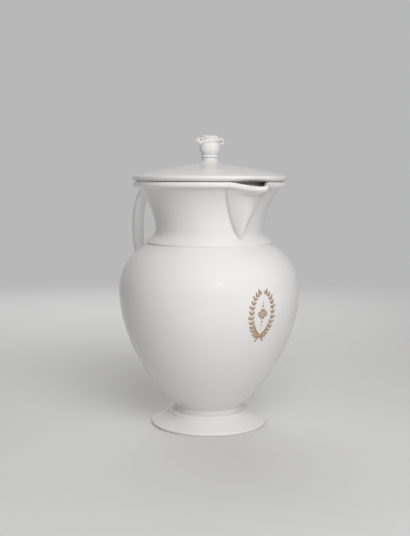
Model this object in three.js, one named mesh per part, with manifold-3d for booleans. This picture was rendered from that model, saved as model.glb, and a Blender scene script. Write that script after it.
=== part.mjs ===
// A covered porcelain decoction pot: foot, belly, neck, pouring beak and strap handle, and a lid
// with a small two-eared urn for a knob. Millimetres, +Z up, the beak towards +X.
import * as THREE from "three";
import { mergeVertices } from "three/addons/utils/BufferGeometryUtils.js";
import Module from "manifold-3d";

const wasm = await Module();
wasm.setup();

// Foot
const footHeight = 14.2;
const footRadius = 46.3;
const footEdge = 2.8; // thickness of the rounded edge
const footRingWidth = 5.2; // flat ring that the pot stands on
const footCoveRadius = 32.3; // where the sloping top turns up into the stem
const footCoveRise = 10.7;
const footWall = 3.6;
const stemRadius = 28.9;
const stemBore = 19; // radius of the hollow at the top of the foot

// Belly
const wall = 4;
const bellyHeight = 129.8;
const bellyRadius = 71.7;
const widestRise = 91.8; // the widest place, above the foot
const stemCove = 4.1; // height of the small hollow where the belly leaves the stem
const shoulderRadius = 50.2; // outside of the belly's top edge
const bottomThickness = 6;

// Neck
const neckStep = 1; // the neck stands back from the shoulder by this little ledge
const throatRadius = 42.7;
const throatRise = 12; // the narrowest place, above the shoulder
const neckHeight = 48.5;
const rimRadius = 60.5;
const rimRoll = 2.1; // radius of the rolled rim's section
const rimWidth = 6.2; // from the rim's outside to the mouth
const mouthBevel = 1.6; // the mouth's edge is eased by this, inwards
const mouthBevelDepth = 2;

// Pouring beak
const beakTipRise = 5.6; // tip of the V, above the shoulder
const beakHalfWidth = 19.2;
const beakReach = 20; // from the rolled rim's inner side to the nose of the lip, along X
const beakFlare = 4; // how far the lip stands out from the beak below it
const beakFlareDepth = 6;
const beakWall = 4;
const beakRoundness = 1.6; // power of the section's flanks: 1 is a sharp V, 2 a round nose
const lipDrop = 2.8; // the lip's nose is lower than the rim by this
const lipNoseHalfWidth = 7.5; // the lip is level within this, beside its middle
const lipEase = 0.8; // how gently the lip swings away from the rim's circle

// Handle
const handleReach = 45.6; // from the belly's widest place to the centre of the strap
const handleWidth = 10.6;
const handleThickness = 6.5;
const handleTopDrop = 9.5; // centre of the strap at the neck, below the rim
const handleSpring = 22; // how strongly the strap rises as it leaves the neck
const handleShoulderInset = 12; // its shoulder is drawn towards a place this far inside its reach
const handleHeelInset = 18; // and its heel towards a place this far inside
const handleBackPull = 23.5; // how long the strap runs upright beside its outermost place
const handleBackRise = 45; // height of the outermost place above the belly's widest place
const handleFootDrop = 7; // centre of the strap at the belly, below the widest place

// Lid
const lidOverhang = 0.7; // the lid stands over the rim by this
const lidEdge = 4.6; // thickness at the rim of the lid
const lidEdgeRoll = 1.9;
const lidUndercut = 1; // the edge stands clear of the rim by this
const lidRise = 9.9; // from the edge's top to the knob's seat
const lidWall = 4;
const knobSeatRadius = 8.6;
const flangeWall = 3.2;
const flangeDepth = 8.5; // how far the flange reaches below the rim
const flangeClearance = 1.2; // between the flange and the inside of the neck
const flangeRootHeight = 3.2; // seat of the flange above the lid's bearing face

// Knob
const knobFootHeight = 4.2;
const knobStemRadius = 5.85;
const beadHeight = 2.6;
const beadRadius = 6.7;
const bowlHeight = 10.6;
const bowlRadius = 7.75;
const bowlNeckRadius = 6.2;
const collarHeight = 2.4;
const collarRadius = 6.9;
const capHeight = 2.1;
const capRibs = 18;
const capRibDepth = 0.45;
const scrollRadius = 2.7;
const scrollBand = 1.3; // thickness of the curled strip
const scrollThinning = 0.35; // share of that thickness lost towards its end
const scrollInset = 0.8; // its end lies this much nearer to the scroll's centre
const scrollMouth = 0.4; // between its end and the strip that it curls back to
const scrollWidth = 3.8;

// Fits
const jointGap = 0.3; // between pieces that are cut to each other
const lidGap = 0.3; // between the lid and the rim that carries it

// Fineness
const roundSegments = 52;
const knobSegments = 28;
const curveSteps = 4;
const cutterMargin = 10; // how far a cutting solid reaches past what it cuts

// Levels and radii that follow from the sizes above
const shoulderLevel = footHeight + bellyHeight;
const widestLevel = footHeight + widestRise;
const rimLevel = shoulderLevel + neckHeight;
const throatLevel = shoulderLevel + throatRise;
const rollLevel = rimLevel - rimRoll;
const neckTopLevel = rimLevel - 2 * rimRoll;
const neckTopRadius = rimRadius - rimRoll * 1.4;
const neckBaseRadius = shoulderRadius - neckStep;
const mouthRadius = rimRadius - rimWidth;
const shoulderBore = shoulderRadius - wall * 1.85; // a slanting wall is wider across than thick
const lidLevel = rimLevel + lidGap;
const lidRadius = rimRadius + lidOverhang;
const seatLevel = lidLevel + lidEdge + lidRise;

// Material
const porcelain = new THREE.MeshStandardMaterial({ color: 0xe9e7e2, roughness: 0.12, metalness: 0 });

// Shaping

function profileFrom(radius, level) {
  const path = new THREE.Path();
  path.moveTo(radius, level);
  return path;
}

// Adds a Bezier curve to a profile. Each of its handles is given as a pull: how far it lies, in
// radius and height, from its own end of the curve.
function curveTo(path, startPull, radius, level, endPull) {
  const start = path.currentPoint;
  path.bezierCurveTo(
    start.x + startPull[0],
    start.y + startPull[1],
    radius + endPull[0],
    level + endPull[1],
    radius,
    level,
  );
}

// Turns a closed profile, given as radius and height, round the Z axis.
function revolve(path, segments = roundSegments, steps = curveSteps) {
  const points = path.getPoints(steps);
  if (THREE.ShapeUtils.area(points) < 0) points.reverse();
  return new THREE.LatheGeometry(points, segments).rotateX(Math.PI / 2);
}

// Joins rings of equally many points into one closed surface with flat end caps.
function loft(rings) {
  const across = rings[0].length;
  const positions = rings.flat().flatMap((p) => [p.x, p.y, p.z]);
  const index = [];
  for (let ring = 0; ring < rings.length - 1; ring++)
    for (let i = 0; i < across; i++) {
      const a = ring * across + i;
      const b = ring * across + ((i + 1) % across);
      index.push(a, b, b + across, a, b + across, a + across);
    }
  const last = (rings.length - 1) * across;
  for (let i = 1; i < across - 1; i++) {
    index.push(0, i + 1, i);
    index.push(last, last + i, last + i + 1);
  }
  const geometry = new THREE.BufferGeometry();
  geometry.setAttribute("position", new THREE.Float32BufferAttribute(positions, 3));
  geometry.setIndex(index);
  return geometry;
}

function toSolid(geometry) {
  const bare = geometry.clone();
  bare.deleteAttribute("normal");
  bare.deleteAttribute("uv");
  const merged = mergeVertices(bare, 1e-4);
  const triVerts = new Uint32Array(merged.index.array);
  return new wasm.Manifold(
    new wasm.Mesh({ numProp: 3, vertProperties: merged.attributes.position.array, triVerts }),
  );
}

function toGeometry(solid) {
  const mesh = solid.getMesh();
  const geometry = new THREE.BufferGeometry();
  geometry.setAttribute("position", new THREE.BufferAttribute(mesh.vertProperties, 3));
  geometry.setIndex(new THREE.BufferAttribute(mesh.triVerts, 1));
  return geometry;
}

function piece(name, geometry, material = porcelain) {
  const flat = geometry.index ? geometry.toNonIndexed() : geometry;
  flat.computeVertexNormals();
  const mesh = new THREE.Mesh(flat, material);
  mesh.name = name;
  return mesh;
}

function smoothstep(from, to, value) {
  const t = THREE.MathUtils.clamp((value - from) / (to - from), 0, 1);
  return t * t * (3 - 2 * t);
}

// Outlines of the pot, as radius and height

// The belly's outside, from the stem up to the shoulder; grow widens it evenly.
function bellyOutside(path, grow) {
  const coveRadius = stemRadius + stemCove * 0.6;
  const covePull = stemCove * 0.3;
  curveTo(path, [0, covePull], coveRadius + grow, footHeight + stemCove, [-covePull, -covePull]);
  curveTo(path, [16.5, 16.7], bellyRadius + grow, widestLevel, [0, -33.9]);
  curveTo(path, [0, 11.5], shoulderRadius + grow, shoulderLevel, [19.1, -12.1]);
}

// The neck's outside, from the shoulder up to the underside of the rolled rim.
function neckOutside(path, grow) {
  curveTo(path, [-3.5, 2.7], throatRadius + grow, throatLevel, [0, -6]);
  curveTo(path, [0, 9.7], neckTopRadius + grow, neckTopLevel, [-6.8, -2.6]);
}

// The neck's inside, from the mouth's bevel down to the shoulder.
function neckInside(path) {
  curveTo(path, [-4.4, -5.7], throatRadius - wall, throatLevel, [0, 9.7]);
  curveTo(path, [0, -7], shoulderBore, shoulderLevel, [-2, 2]);
}

// Radius of a curve of the pot at a height, read from its points.
function radiusAt(path, level) {
  const points = path.getPoints(curveSteps);
  const upper = points.findIndex((p, i) => i > 0 && (p.y - level) * (points[i - 1].y - level) <= 0);
  const a = points[upper - 1];
  const b = points[upper];
  return THREE.MathUtils.mapLinear(level, a.y, b.y, a.x, b.x);
}

function neckRadiusAt(level) {
  const path = profileFrom(neckBaseRadius, shoulderLevel);
  neckOutside(path, 0);
  return radiusAt(path, Math.min(level, neckTopLevel));
}

function neckBoreAt(level) {
  const path = profileFrom(mouthRadius - mouthBevel, rimLevel - mouthBevelDepth);
  neckInside(path);
  return radiusAt(path, level);
}

// Foot, belly and neck

function footGeometry() {
  const ringRadius = footRadius - footEdge * 0.3;
  const ringBore = ringRadius - footRingWidth;
  const ringEase = 0.8;
  const path = profileFrom(ringBore, 0);
  path.lineTo(ringRadius, 0);
  const edgePull = footEdge * 0.3;
  curveTo(path, [edgePull, edgePull], footRadius - footEdge * 0.6, footEdge, [2 * edgePull, -edgePull]);
  curveTo(path, [-4.3, 2.4], footCoveRadius, footCoveRise, [3, -3.4]);
  curveTo(path, [-2, 0.9], stemRadius, footHeight, [0, -2.2]);
  path.lineTo(stemBore, footHeight);
  curveTo(path, [6, -footWall], ringBore - ringEase, 2 * ringEase, [-7.2, 3.2]);
  path.lineTo(ringBore, 0);
  return revolve(path);
}

function bellyGeometry() {
  const floorLevel = footHeight + bottomThickness;
  const path = profileFrom(0, footHeight);
  path.lineTo(stemRadius, footHeight);
  bellyOutside(path, 0);
  path.lineTo(shoulderBore, shoulderLevel);
  curveTo(path, [19.8, -13], bellyRadius - wall, widestLevel, [0, 12]);
  curveTo(path, [0, -36], 0, floorLevel, [stemRadius + 10, 0]);
  return revolve(path);
}

function neckShell() {
  const path = profileFrom(shoulderBore, shoulderLevel);
  path.lineTo(neckBaseRadius, shoulderLevel);
  neckOutside(path, 0);
  path.lineTo(rimRadius - rimRoll, neckTopLevel);
  path.absarc(rimRadius - rimRoll, rollLevel, rimRoll, -Math.PI / 2, Math.PI / 2, false);
  path.lineTo(mouthRadius, rimLevel);
  path.lineTo(mouthRadius - mouthBevel, rimLevel - mouthBevelDepth);
  neckInside(path);
  return revolve(path);
}

// The hollow of the neck as a solid, with room above the mouth.
function neckHollow() {
  const path = profileFrom(0, rimLevel + cutterMargin);
  path.lineTo(mouthRadius, rimLevel + cutterMargin);
  path.lineTo(mouthRadius, rimLevel);
  path.lineTo(mouthRadius - mouthBevel, rimLevel - mouthBevelDepth);
  neckInside(path);
  path.lineTo(0, shoulderLevel);
  return revolve(path);
}

// The pot's outside from foot to rim as a solid, grown by the joint gap.
function potEnvelope() {
  const path = profileFrom(0, footHeight);
  path.lineTo(stemRadius + jointGap, footHeight);
  bellyOutside(path, jointGap);
  path.lineTo(neckBaseRadius + jointGap, shoulderLevel);
  neckOutside(path, jointGap);
  const roll = rimRoll + jointGap;
  path.lineTo(rimRadius - rimRoll, rollLevel - roll);
  path.absarc(rimRadius - rimRoll, rollLevel, roll, -Math.PI / 2, Math.PI / 2, false);
  path.lineTo(0, rollLevel + roll);
  return revolve(path);
}

// Pouring beak

const beakTipLevel = shoulderLevel + beakTipRise;
const lipCentreLevel = rollLevel - lipDrop;
const rimCentreRadius = rimRadius - rimRoll;
const noseReach = rimCentreRadius - beakHalfWidth / 2 + beakReach;

// Half width of the V at a height.
function beakWidthAt(level, tipLevel, topHalfWidth) {
  const share = THREE.MathUtils.clamp((level - tipLevel) / (neckTopLevel - tipLevel), 0, 1);
  return topHalfWidth * share ** 0.85;
}

// Distance of the beak's nose from the pot's axis at a height, without its flare.
function noseAt(level) {
  const share = (level - beakTipLevel) / (lipCentreLevel - beakTipLevel);
  const tipRadius = neckRadiusAt(beakTipLevel);
  return tipRadius + (noseReach - beakFlare - tipRadius) * Math.min(share, 1);
}

// A section of the beak from a root on the neck out to its nose; side runs from -1 to 1 across it.
function flankAt(root, nose, side) {
  return root + (nose - root) * (1 - Math.abs(side) ** beakRoundness);
}

// How far the flare stands out, at a distance beside the beak's middle.
function flareAt(across) {
  return beakFlare * (1 - smoothstep(lipNoseHalfWidth * 0.4, lipNoseHalfWidth * 1.6, Math.abs(across)));
}

// Height of the lip's top, at a distance beside the beak's middle.
function lipTopAt(across) {
  return rimLevel - lipDrop * (1 - smoothstep(lipNoseHalfWidth, beakHalfWidth * 0.91, Math.abs(across)));
}

// Distance of the lip's middle line from the pot's axis. It leaves the rim's circle gently.
function lipReachAt(across) {
  const rim = Math.sqrt(rimCentreRadius ** 2 - across ** 2);
  const root = Math.sqrt(rimCentreRadius ** 2 - beakHalfWidth ** 2);
  const line = flankAt(root, noseReach - beakFlare, across / beakHalfWidth) + flareAt(across);
  const away = Math.max(line - rim, 0);
  const most = noseReach - rimCentreRadius;
  return rim + ((away ** 2 / (away + lipEase)) * (most + lipEase)) / most;
}

// A solid of V-shaped sections from the tip to above the rim, set back by inset.
function beakSolid(inset, tipLevel, back) {
  const levels = 13;
  const steps = 16;
  const topLevel = rimLevel + lipDrop;
  const lowestShare = 0.004; // the first section is a little above the tip, where the V has a width
  const rings = [];
  for (let i = 0; i <= levels; i++) {
    const level = tipLevel + (topLevel - tipLevel) * Math.max(i / levels, lowestShare);
    const half = beakWidthAt(level, tipLevel, beakHalfWidth - inset);
    const root = Math.sqrt(neckRadiusAt(level) ** 2 - half ** 2);
    const nose = Math.max(noseAt(level) - inset, root);
    const flareShare = smoothstep(lipCentreLevel - beakFlareDepth, lipCentreLevel, level);
    const ring = [new THREE.Vector3(back, half, level), new THREE.Vector3(back, -half, level)];
    for (let j = 0; j <= steps; j++) {
      const side = Math.sin((j / steps - 0.5) * Math.PI);
      const x = flankAt(root, nose, side) + flareAt(half * side) * flareShare;
      ring.push(new THREE.Vector3(x, half * side, level));
    }
    rings.push(ring);
  }
  return toSolid(loft(rings));
}

// The rolled lip: it runs on from the rim, swings out round the nose and comes back. Its ends run
// past the cut in the rim and are trimmed flush with the V's sides.
function lipRoll() {
  const steps = 20;
  const around = 10;
  const past = 1.05; // how far the untrimmed roll runs, as a share of the half width
  const path = [];
  for (let i = 0; i <= steps; i++) {
    const across = (2 * (i / steps) - 1) * beakHalfWidth * past;
    path.push(new THREE.Vector3(lipReachAt(across), across, lipTopAt(across) - rimRoll));
  }
  const rings = path.map((p, i) => {
    const before = path[Math.max(i - 1, 0)];
    const after = path[Math.min(i + 1, steps)];
    const along = new THREE.Vector2(after.x - before.x, after.y - before.y).normalize();
    const ring = [];
    for (let j = 0; j < around; j++) {
      const turn = (j / around) * 2 * Math.PI;
      const out = Math.cos(turn) * rimRoll;
      const down = Math.sin(turn) * rimRoll;
      ring.push(new THREE.Vector3(p.x + along.y * out, p.y - along.x * out, p.z - down));
    }
    return ring;
  });
  const depth = 2 * (noseReach + cutterMargin);
  const between = new THREE.BoxGeometry(depth, 2 * beakHalfWidth, depth).translate(0, 0, rimLevel);
  return toSolid(loft(rings)).intersect(toSolid(between));
}

// Everything above the middle of the lip's roll, to trim the beak's wall with.
function aboveLip() {
  const across = new THREE.Shape();
  const steps = 24;
  const reach = beakHalfWidth + cutterMargin;
  const ceiling = rimLevel + cutterMargin;
  across.moveTo(-reach, ceiling);
  for (let i = 0; i <= steps; i++) {
    const y = (2 * (i / steps) - 1) * reach;
    across.lineTo(y, lipTopAt(y) - rimRoll * 0.3);
  }
  across.lineTo(reach, ceiling);
  const depth = noseReach + cutterMargin;
  const geometry = new THREE.ExtrudeGeometry(across, { depth, bevelEnabled: false });
  geometry.rotateX(Math.PI / 2);
  geometry.rotateZ(Math.PI / 2);
  return toSolid(geometry);
}

// The V that is cut out of the neck for the beak.
function beakNotch() {
  const outline = new THREE.Shape();
  const levels = 13;
  const topLevel = rimLevel + cutterMargin;
  const right = [];
  for (let i = 0; i <= levels; i++) {
    const level = THREE.MathUtils.lerp(beakTipLevel, neckTopLevel, i / levels);
    right.push(new THREE.Vector2(beakWidthAt(level, beakTipLevel, beakHalfWidth) + jointGap, level));
  }
  right.push(new THREE.Vector2(beakHalfWidth + jointGap, topLevel));
  outline.moveTo(0, beakTipLevel - jointGap);
  right.forEach((p) => outline.lineTo(p.x, p.y));
  right.reverse().forEach((p) => outline.lineTo(-p.x, p.y));
  const depth = noseReach + cutterMargin;
  const geometry = new THREE.ExtrudeGeometry(outline, { depth, bevelEnabled: false });
  geometry.rotateX(Math.PI / 2);
  geometry.rotateZ(Math.PI / 2);
  return toSolid(geometry);
}

function neckGeometry() {
  return toGeometry(toSolid(neckShell()).subtract(beakNotch()));
}

function spoutGeometry() {
  const back = throatRadius / 2;
  const outside = beakSolid(0, beakTipLevel, back).subtract(toSolid(neckHollow()));
  const channel = beakSolid(beakWall, beakTipLevel + 2 * beakWall, back - cutterMargin);
  return toGeometry(outside.subtract(channel).subtract(aboveLip()).add(lipRoll()));
}

// Strap handle

function handleGeometry() {
  const topLevel = rimLevel - handleTopDrop;
  const top = new THREE.Vector3(wall - neckRadiusAt(topLevel), 0, topLevel);
  const outermost = new THREE.Vector3(-bellyRadius - handleReach, 0, widestLevel + handleBackRise);
  const bottom = new THREE.Vector3(wall - bellyRadius, 0, widestLevel - handleFootDrop);
  const path = new THREE.CurvePath();
  path.add(
    new THREE.CubicBezierCurve3(
      top,
      new THREE.Vector3(outermost.x + handleShoulderInset, 0, topLevel + handleSpring),
      new THREE.Vector3(outermost.x, 0, outermost.z + handleBackPull),
      outermost,
    ),
  );
  path.add(
    new THREE.CubicBezierCurve3(
      outermost,
      new THREE.Vector3(outermost.x, 0, outermost.z - handleBackPull),
      new THREE.Vector3(outermost.x + handleHeelInset, 0, bottom.z),
      bottom,
    ),
  );
  const section = new THREE.Shape();
  section.absellipse(0, 0, handleWidth / 2, handleThickness / 2, 0, 2 * Math.PI, false, 0);
  const sweep = new THREE.ExtrudeGeometry(section, { extrudePath: path, steps: 30, curveSegments: 8 });
  return toGeometry(toSolid(sweep).subtract(toSolid(potEnvelope())));
}

// Lid

const flangeRadius = neckBoreAt(rimLevel - flangeDepth) - flangeClearance;
const flangeBore = flangeRadius - flangeWall;
const flangeRootLevel = lidLevel + flangeRootHeight;

function lidGeometry() {
  const edgeRadius = lidRadius - lidEdgeRoll;
  const path = profileFrom(0, seatLevel - lidWall);
  curveTo(path, [knobSeatRadius + 8, 0], flangeBore, flangeRootLevel, [-14, 3.2]);
  path.lineTo(flangeRadius + jointGap, flangeRootLevel);
  path.lineTo(flangeRadius + flangeClearance, lidLevel);
  path.lineTo(rimRadius - rimRoll * 1.7, lidLevel);
  path.lineTo(rimRadius - rimRoll * 0.2, lidLevel + lidUndercut);
  curveTo(path, [0.9, 0.4], edgeRadius, lidLevel + lidEdge, [lidEdgeRoll + 0.7, -0.3]);
  curveTo(path, [-14.1, 4.2], knobSeatRadius, seatLevel, [14.7, -2.1]);
  path.lineTo(0, seatLevel);
  return revolve(path);
}

function flangeGeometry() {
  const foot = rimLevel - flangeDepth;
  const ease = flangeWall / 4;
  const path = profileFrom(flangeBore, flangeRootLevel);
  path.lineTo(flangeBore, foot + ease);
  path.lineTo(flangeBore + ease, foot);
  path.lineTo(flangeRadius - ease, foot);
  path.lineTo(flangeRadius, foot + ease);
  path.lineTo(flangeRadius, flangeRootLevel);
  path.lineTo(flangeBore, flangeRootLevel);
  return revolve(path);
}

// Knob, from the lid up

const beadLevel = seatLevel + knobFootHeight;
const bowlLevel = beadLevel + beadHeight;
const collarLevel = bowlLevel + bowlHeight;
const capLevel = collarLevel + collarHeight;

function knobFootGeometry() {
  const path = profileFrom(0, seatLevel);
  path.lineTo(knobSeatRadius, seatLevel);
  curveTo(path, [-1.5, 0.8], knobStemRadius, beadLevel, [0, -1.6]);
  path.lineTo(0, beadLevel);
  return revolve(path, knobSegments, 5);
}

function knobBeadGeometry() {
  const half = beadHeight / 2;
  const path = profileFrom(0, beadLevel);
  path.lineTo(beadRadius - half, beadLevel);
  path.absarc(beadRadius - half, beadLevel + half, half, -Math.PI / 2, Math.PI / 2, false);
  path.lineTo(0, bowlLevel);
  return revolve(path, knobSegments, 5);
}

function knobBowlGeometry() {
  const path = profileFrom(0, bowlLevel);
  path.lineTo(bowlNeckRadius, bowlLevel);
  curveTo(path, [0.6, 1.2], bowlRadius, bowlLevel + bowlHeight * 0.42, [0, -2.6]);
  curveTo(path, [0, 3.7], collarRadius - 0.7, collarLevel, [1.3, -0.9]);
  path.lineTo(0, collarLevel);
  return revolve(path, knobSegments, 5);
}

function knobCollarGeometry() {
  const pull = collarHeight / 5;
  const path = profileFrom(0, collarLevel);
  path.lineTo(collarRadius - 0.6, collarLevel);
  curveTo(path, [0.8, pull], collarRadius - 0.4, capLevel, [0.6, -pull]);
  path.lineTo(0, capLevel);
  return revolve(path, knobSegments, 4);
}

// A strip that leaves the collar at its top and curls down and round into a scroll. Its end stops
// short of the strip's own underside.
function scrollGeometry(side) {
  const centre = new THREE.Vector2(collarRadius + jointGap + scrollRadius, capLevel - scrollRadius);
  const start = Math.PI / 2;
  const endRise = (scrollRadius - scrollBand - scrollMouth) / (scrollRadius - scrollInset);
  const end = -Math.PI - Math.asin(endRise);
  const steps = 20;
  const outer = [];
  const inner = [];
  for (let i = 0; i <= steps; i++) {
    const share = i / steps;
    const turn = THREE.MathUtils.lerp(start, end, share);
    const radius = scrollRadius - share * scrollInset;
    const thickness = scrollBand * (1 - scrollThinning * share);
    const way = new THREE.Vector2(Math.cos(turn), Math.sin(turn));
    outer.push(centre.clone().addScaledVector(way, radius));
    inner.push(centre.clone().addScaledVector(way, radius - thickness));
  }
  const root = collarRadius + jointGap;
  const outline = new THREE.Shape();
  outline.moveTo(root, capLevel - scrollBand);
  outline.lineTo(root, capLevel);
  outer.forEach((p) => outline.lineTo(p.x, p.y));
  inner.reverse().forEach((p) => outline.lineTo(p.x, p.y));
  const geometry = new THREE.ExtrudeGeometry(outline, { depth: scrollWidth, bevelEnabled: false });
  geometry.translate(0, 0, -scrollWidth / 2);
  geometry.rotateX(Math.PI / 2);
  geometry.rotateZ((side * Math.PI) / 2);
  return geometry;
}

// A low dome whose edge is lobed into ribs.
function knobCapGeometry() {
  const heights = [0, 0.35, 0.7, 0.92, 1];
  const radii = [collarRadius - 0.5, collarRadius - 0.1, collarRadius - 1, collarRadius - 2.4, collarRadius - 4];
  const perRib = 4;
  const around = capRibs * perRib;
  const crown = heights.length - 1; // the flat middle has no ribs
  const rings = heights.map((share, i) => {
    const level = capLevel + share * capHeight;
    const depth = i < crown ? capRibDepth / 2 : 0;
    const ring = [];
    for (let j = 0; j < around; j++) {
      const turn = (j / around) * 2 * Math.PI;
      const radius = radii[i] - depth * (1 - Math.cos(capRibs * turn));
      ring.push(new THREE.Vector3(radius * Math.cos(turn), radius * Math.sin(turn), level));
    }
    return ring;
  });
  return loft(rings);
}

// Assembly

const pot = new THREE.Group();
pot.add(piece("foot", footGeometry()));
pot.add(piece("belly", bellyGeometry()));
pot.add(piece("neck", neckGeometry()));
pot.add(piece("spout", spoutGeometry()));
pot.add(piece("handle", handleGeometry()));

const cover = new THREE.Group();
cover.add(piece("lid", lidGeometry()));
cover.add(piece("lid_flange", flangeGeometry()));
cover.add(piece("knob_foot", knobFootGeometry()));
cover.add(piece("knob_bead", knobBeadGeometry()));
cover.add(piece("knob_bowl", knobBowlGeometry()));
cover.add(piece("knob_collar", knobCollarGeometry()));
cover.add(piece("knob_scroll_left", scrollGeometry(1)));
cover.add(piece("knob_scroll_right", scrollGeometry(-1)));
cover.add(piece("knob_cap", knobCapGeometry()));

const model = new THREE.Group();
model.add(pot, cover);

// The origin lies on the table under the middle of the whole length.
const middle = new THREE.Box3().setFromObject(model).getCenter(new THREE.Vector3());
pot.position.x = -middle.x;
cover.position.x = -middle.x;

export default model;
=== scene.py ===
"""A covered porcelain decoction pot, glazed and gilt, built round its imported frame.

Lengths are in millimetres in the sections below and become metres where a mesh is made. The pot is
turned about one upright axis; radius and height are counted from that axis and from the table.
"""

import bpy
import numpy as np
from mathutils import Matrix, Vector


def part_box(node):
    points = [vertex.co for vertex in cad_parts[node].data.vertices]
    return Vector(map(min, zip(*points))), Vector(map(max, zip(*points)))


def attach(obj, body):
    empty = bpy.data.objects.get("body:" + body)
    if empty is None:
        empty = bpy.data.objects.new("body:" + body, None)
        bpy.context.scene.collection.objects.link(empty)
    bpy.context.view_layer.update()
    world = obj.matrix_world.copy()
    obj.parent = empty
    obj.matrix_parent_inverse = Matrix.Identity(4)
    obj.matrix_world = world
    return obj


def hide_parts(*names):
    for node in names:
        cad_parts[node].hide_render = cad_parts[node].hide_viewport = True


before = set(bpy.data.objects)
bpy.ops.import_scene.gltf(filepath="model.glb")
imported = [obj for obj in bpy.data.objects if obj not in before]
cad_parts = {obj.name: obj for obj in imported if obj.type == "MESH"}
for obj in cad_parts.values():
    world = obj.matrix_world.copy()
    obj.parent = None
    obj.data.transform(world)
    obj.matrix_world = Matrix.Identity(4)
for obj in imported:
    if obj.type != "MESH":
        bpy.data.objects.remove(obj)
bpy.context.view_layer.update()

# Foot
# A spreading porcelain foot, thrown on the wheel, turned hollow underneath and luted to the belly
# with slip. The flat ring that it stands on is wiped clean of glaze before the firing.
lid_low, lid_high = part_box("lid")
axis_x = 1000 * (lid_low.x + lid_high.x) / 2
foot_height = 14.2
foot_radius = 46.3
foot_edge = 2.8
foot_ring_outside = 45.5
foot_ring_inside = 40.3
foot_ring_round = 0.5
cove_end = (32.8, 9.9)
ledge = (31.2, 11.35)
waist_radius = 28.1
stem_bore = 19.0


def bend(start, leave, arrive, end, steps=24):
    """Points of a cubic Bezier curve: each is the mean of the four points, weighted by the cubic
    Bernstein shares of a parameter that runs from 0 to 1. The end point is left out."""
    t = np.linspace(0, 1, steps, endpoint=False)[:, None]
    a, b, c, d = (np.asarray(p, float) for p in (start, leave, arrive, end))
    return (1 - t) ** 3 * a + 3 * (1 - t) ** 2 * t * b + 3 * (1 - t) * t**2 * c + t**3 * d


def toward(heading):
    """Unit steps along headings in degrees: their cosine and their sine."""
    return np.column_stack([np.cos(np.radians(heading)), np.sin(np.radians(heading))])


def arc(centre, radius, start, end, steps=7):
    """Points of an arc about a centre, between two angles in degrees, both ends included."""
    return np.array(centre) + radius * toward(np.linspace(start, end, steps))


def profile(*parts):
    """One closed outline of radius and height, from runs of points and single points."""
    points = np.concatenate([np.atleast_2d(np.asarray(part, float)) for part in parts])
    return np.concatenate([points, points[:1]])


def length_along(line):
    """Length of a line up to each of its points: the sum of the steps before it."""
    return np.append(0, np.cumsum(np.linalg.norm(np.diff(line, axis=0), axis=1)))


def hollowness(outline, reach=1.2, full=0.35, spacing=0.25):
    """How far each point of a closed outline lies behind the chord that joins the points a reach
    before and after it, as a share of a full depth: glaze gathers in such hollows, and the share
    also darkens them as painted shade. It is worked out at an even spacing and read back at the
    outline's own points."""
    run = length_along(outline)
    total = run[-1]

    def at(place):
        """Points of the outline at lengths along it, on past its end to its start again."""
        place = place % total
        return np.column_stack([np.interp(place, run, outline[:, k]) for k in (0, 1)])

    even = np.linspace(0, total, int(total / spacing))
    chord = at(even + reach) - at(even - reach)
    away = at(even) - at(even - reach)
    r, z = outline.T
    turn = np.sign(np.sum(r[:-1] * z[1:] - r[1:] * z[:-1]))
    depth = (chord[:, 0] * away[:, 1] - chord[:, 1] * away[:, 0]) * turn
    depth /= np.linalg.norm(chord, axis=1) + 1e-9
    return np.interp(run, even, np.clip(depth / full, 0, 1))


def grid_mesh(name, points, pool_and_shade=None, normals=None, crease=50, mark="glaze_pool_and_shade"):
    """A closed surface through one or more grids of points in millimetres: quads join neighbouring
    rows and columns, points that fall together at seams and poles are merged, and the whole is
    turned inside out if its volume, summed from its triangles, is negative."""
    index = np.arange(points[..., 0].size).reshape(points.shape[:-1])
    near, far = index[..., :-1, :], index[..., 1:, :]
    quads = np.stack([near[..., :-1], far[..., :-1], far[..., 1:], near[..., 1:]], axis=-1)
    flat = points.reshape(-1, 3)
    grain = np.round(flat * 1e4).astype(np.int64)
    _, first, same = np.unique(grain, axis=0, return_index=True, return_inverse=True)
    quads = same.reshape(-1)[quads.reshape(-1, 4)]
    corner = flat[first][quads]
    fan = np.cross(corner[:, 1], corner[:, 2]) + np.cross(corner[:, 2], corner[:, 3])
    if np.sum(corner[:, 0] * fan) < 0:
        quads = quads[:, ::-1]
    kept = quads != np.roll(quads, -1, axis=1)
    whole = kept.sum(axis=1) >= 3
    corners, sizes = quads[whole][kept[whole]], kept[whole].sum(axis=1)
    mesh = bpy.data.meshes.new(name)
    mesh.vertices.add(len(first))
    mesh.vertices.foreach_set("co", (flat[first] / 1000).ravel())
    mesh.loops.add(len(corners))
    mesh.loops.foreach_set("vertex_index", corners.astype(np.int32))
    mesh.polygons.add(len(sizes))
    mesh.polygons.foreach_set("loop_start", np.cumsum(np.append(0, sizes[:-1])).astype(np.int32))
    mesh.update(calc_edges=True)
    mesh.shade_smooth()
    mesh.set_sharp_from_angle(angle=np.radians(crease))
    # Each point's darkening share, for glaze that gathers in hollows and for painted shade, goes
    # into an attribute for the glaze.
    value = np.zeros(len(flat)) if pool_and_shade is None else pool_and_shade.reshape(-1)
    attribute = mesh.attributes.new(mark, "FLOAT", "POINT")
    attribute.data.foreach_set("value", value[first].astype(np.float32))
    if normals is not None:
        given = normals.reshape(-1, 3)[first]
        own = np.empty(len(first) * 3)
        mesh.vertex_normals.foreach_get("vector", own)
        turn = np.sign(np.sum(own.reshape(-1, 3) * given))
        mesh.normals_split_custom_set_from_vertices(given * turn)
    piece = bpy.data.objects.new(name, mesh)
    bpy.context.scene.collection.objects.link(piece)
    return piece


def full_turn(columns):
    """Angles all round in radians; the last one is the first again, so that a seam closes."""
    return np.linspace(0, 2 * np.pi, columns + 1) % (2 * np.pi)


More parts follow.
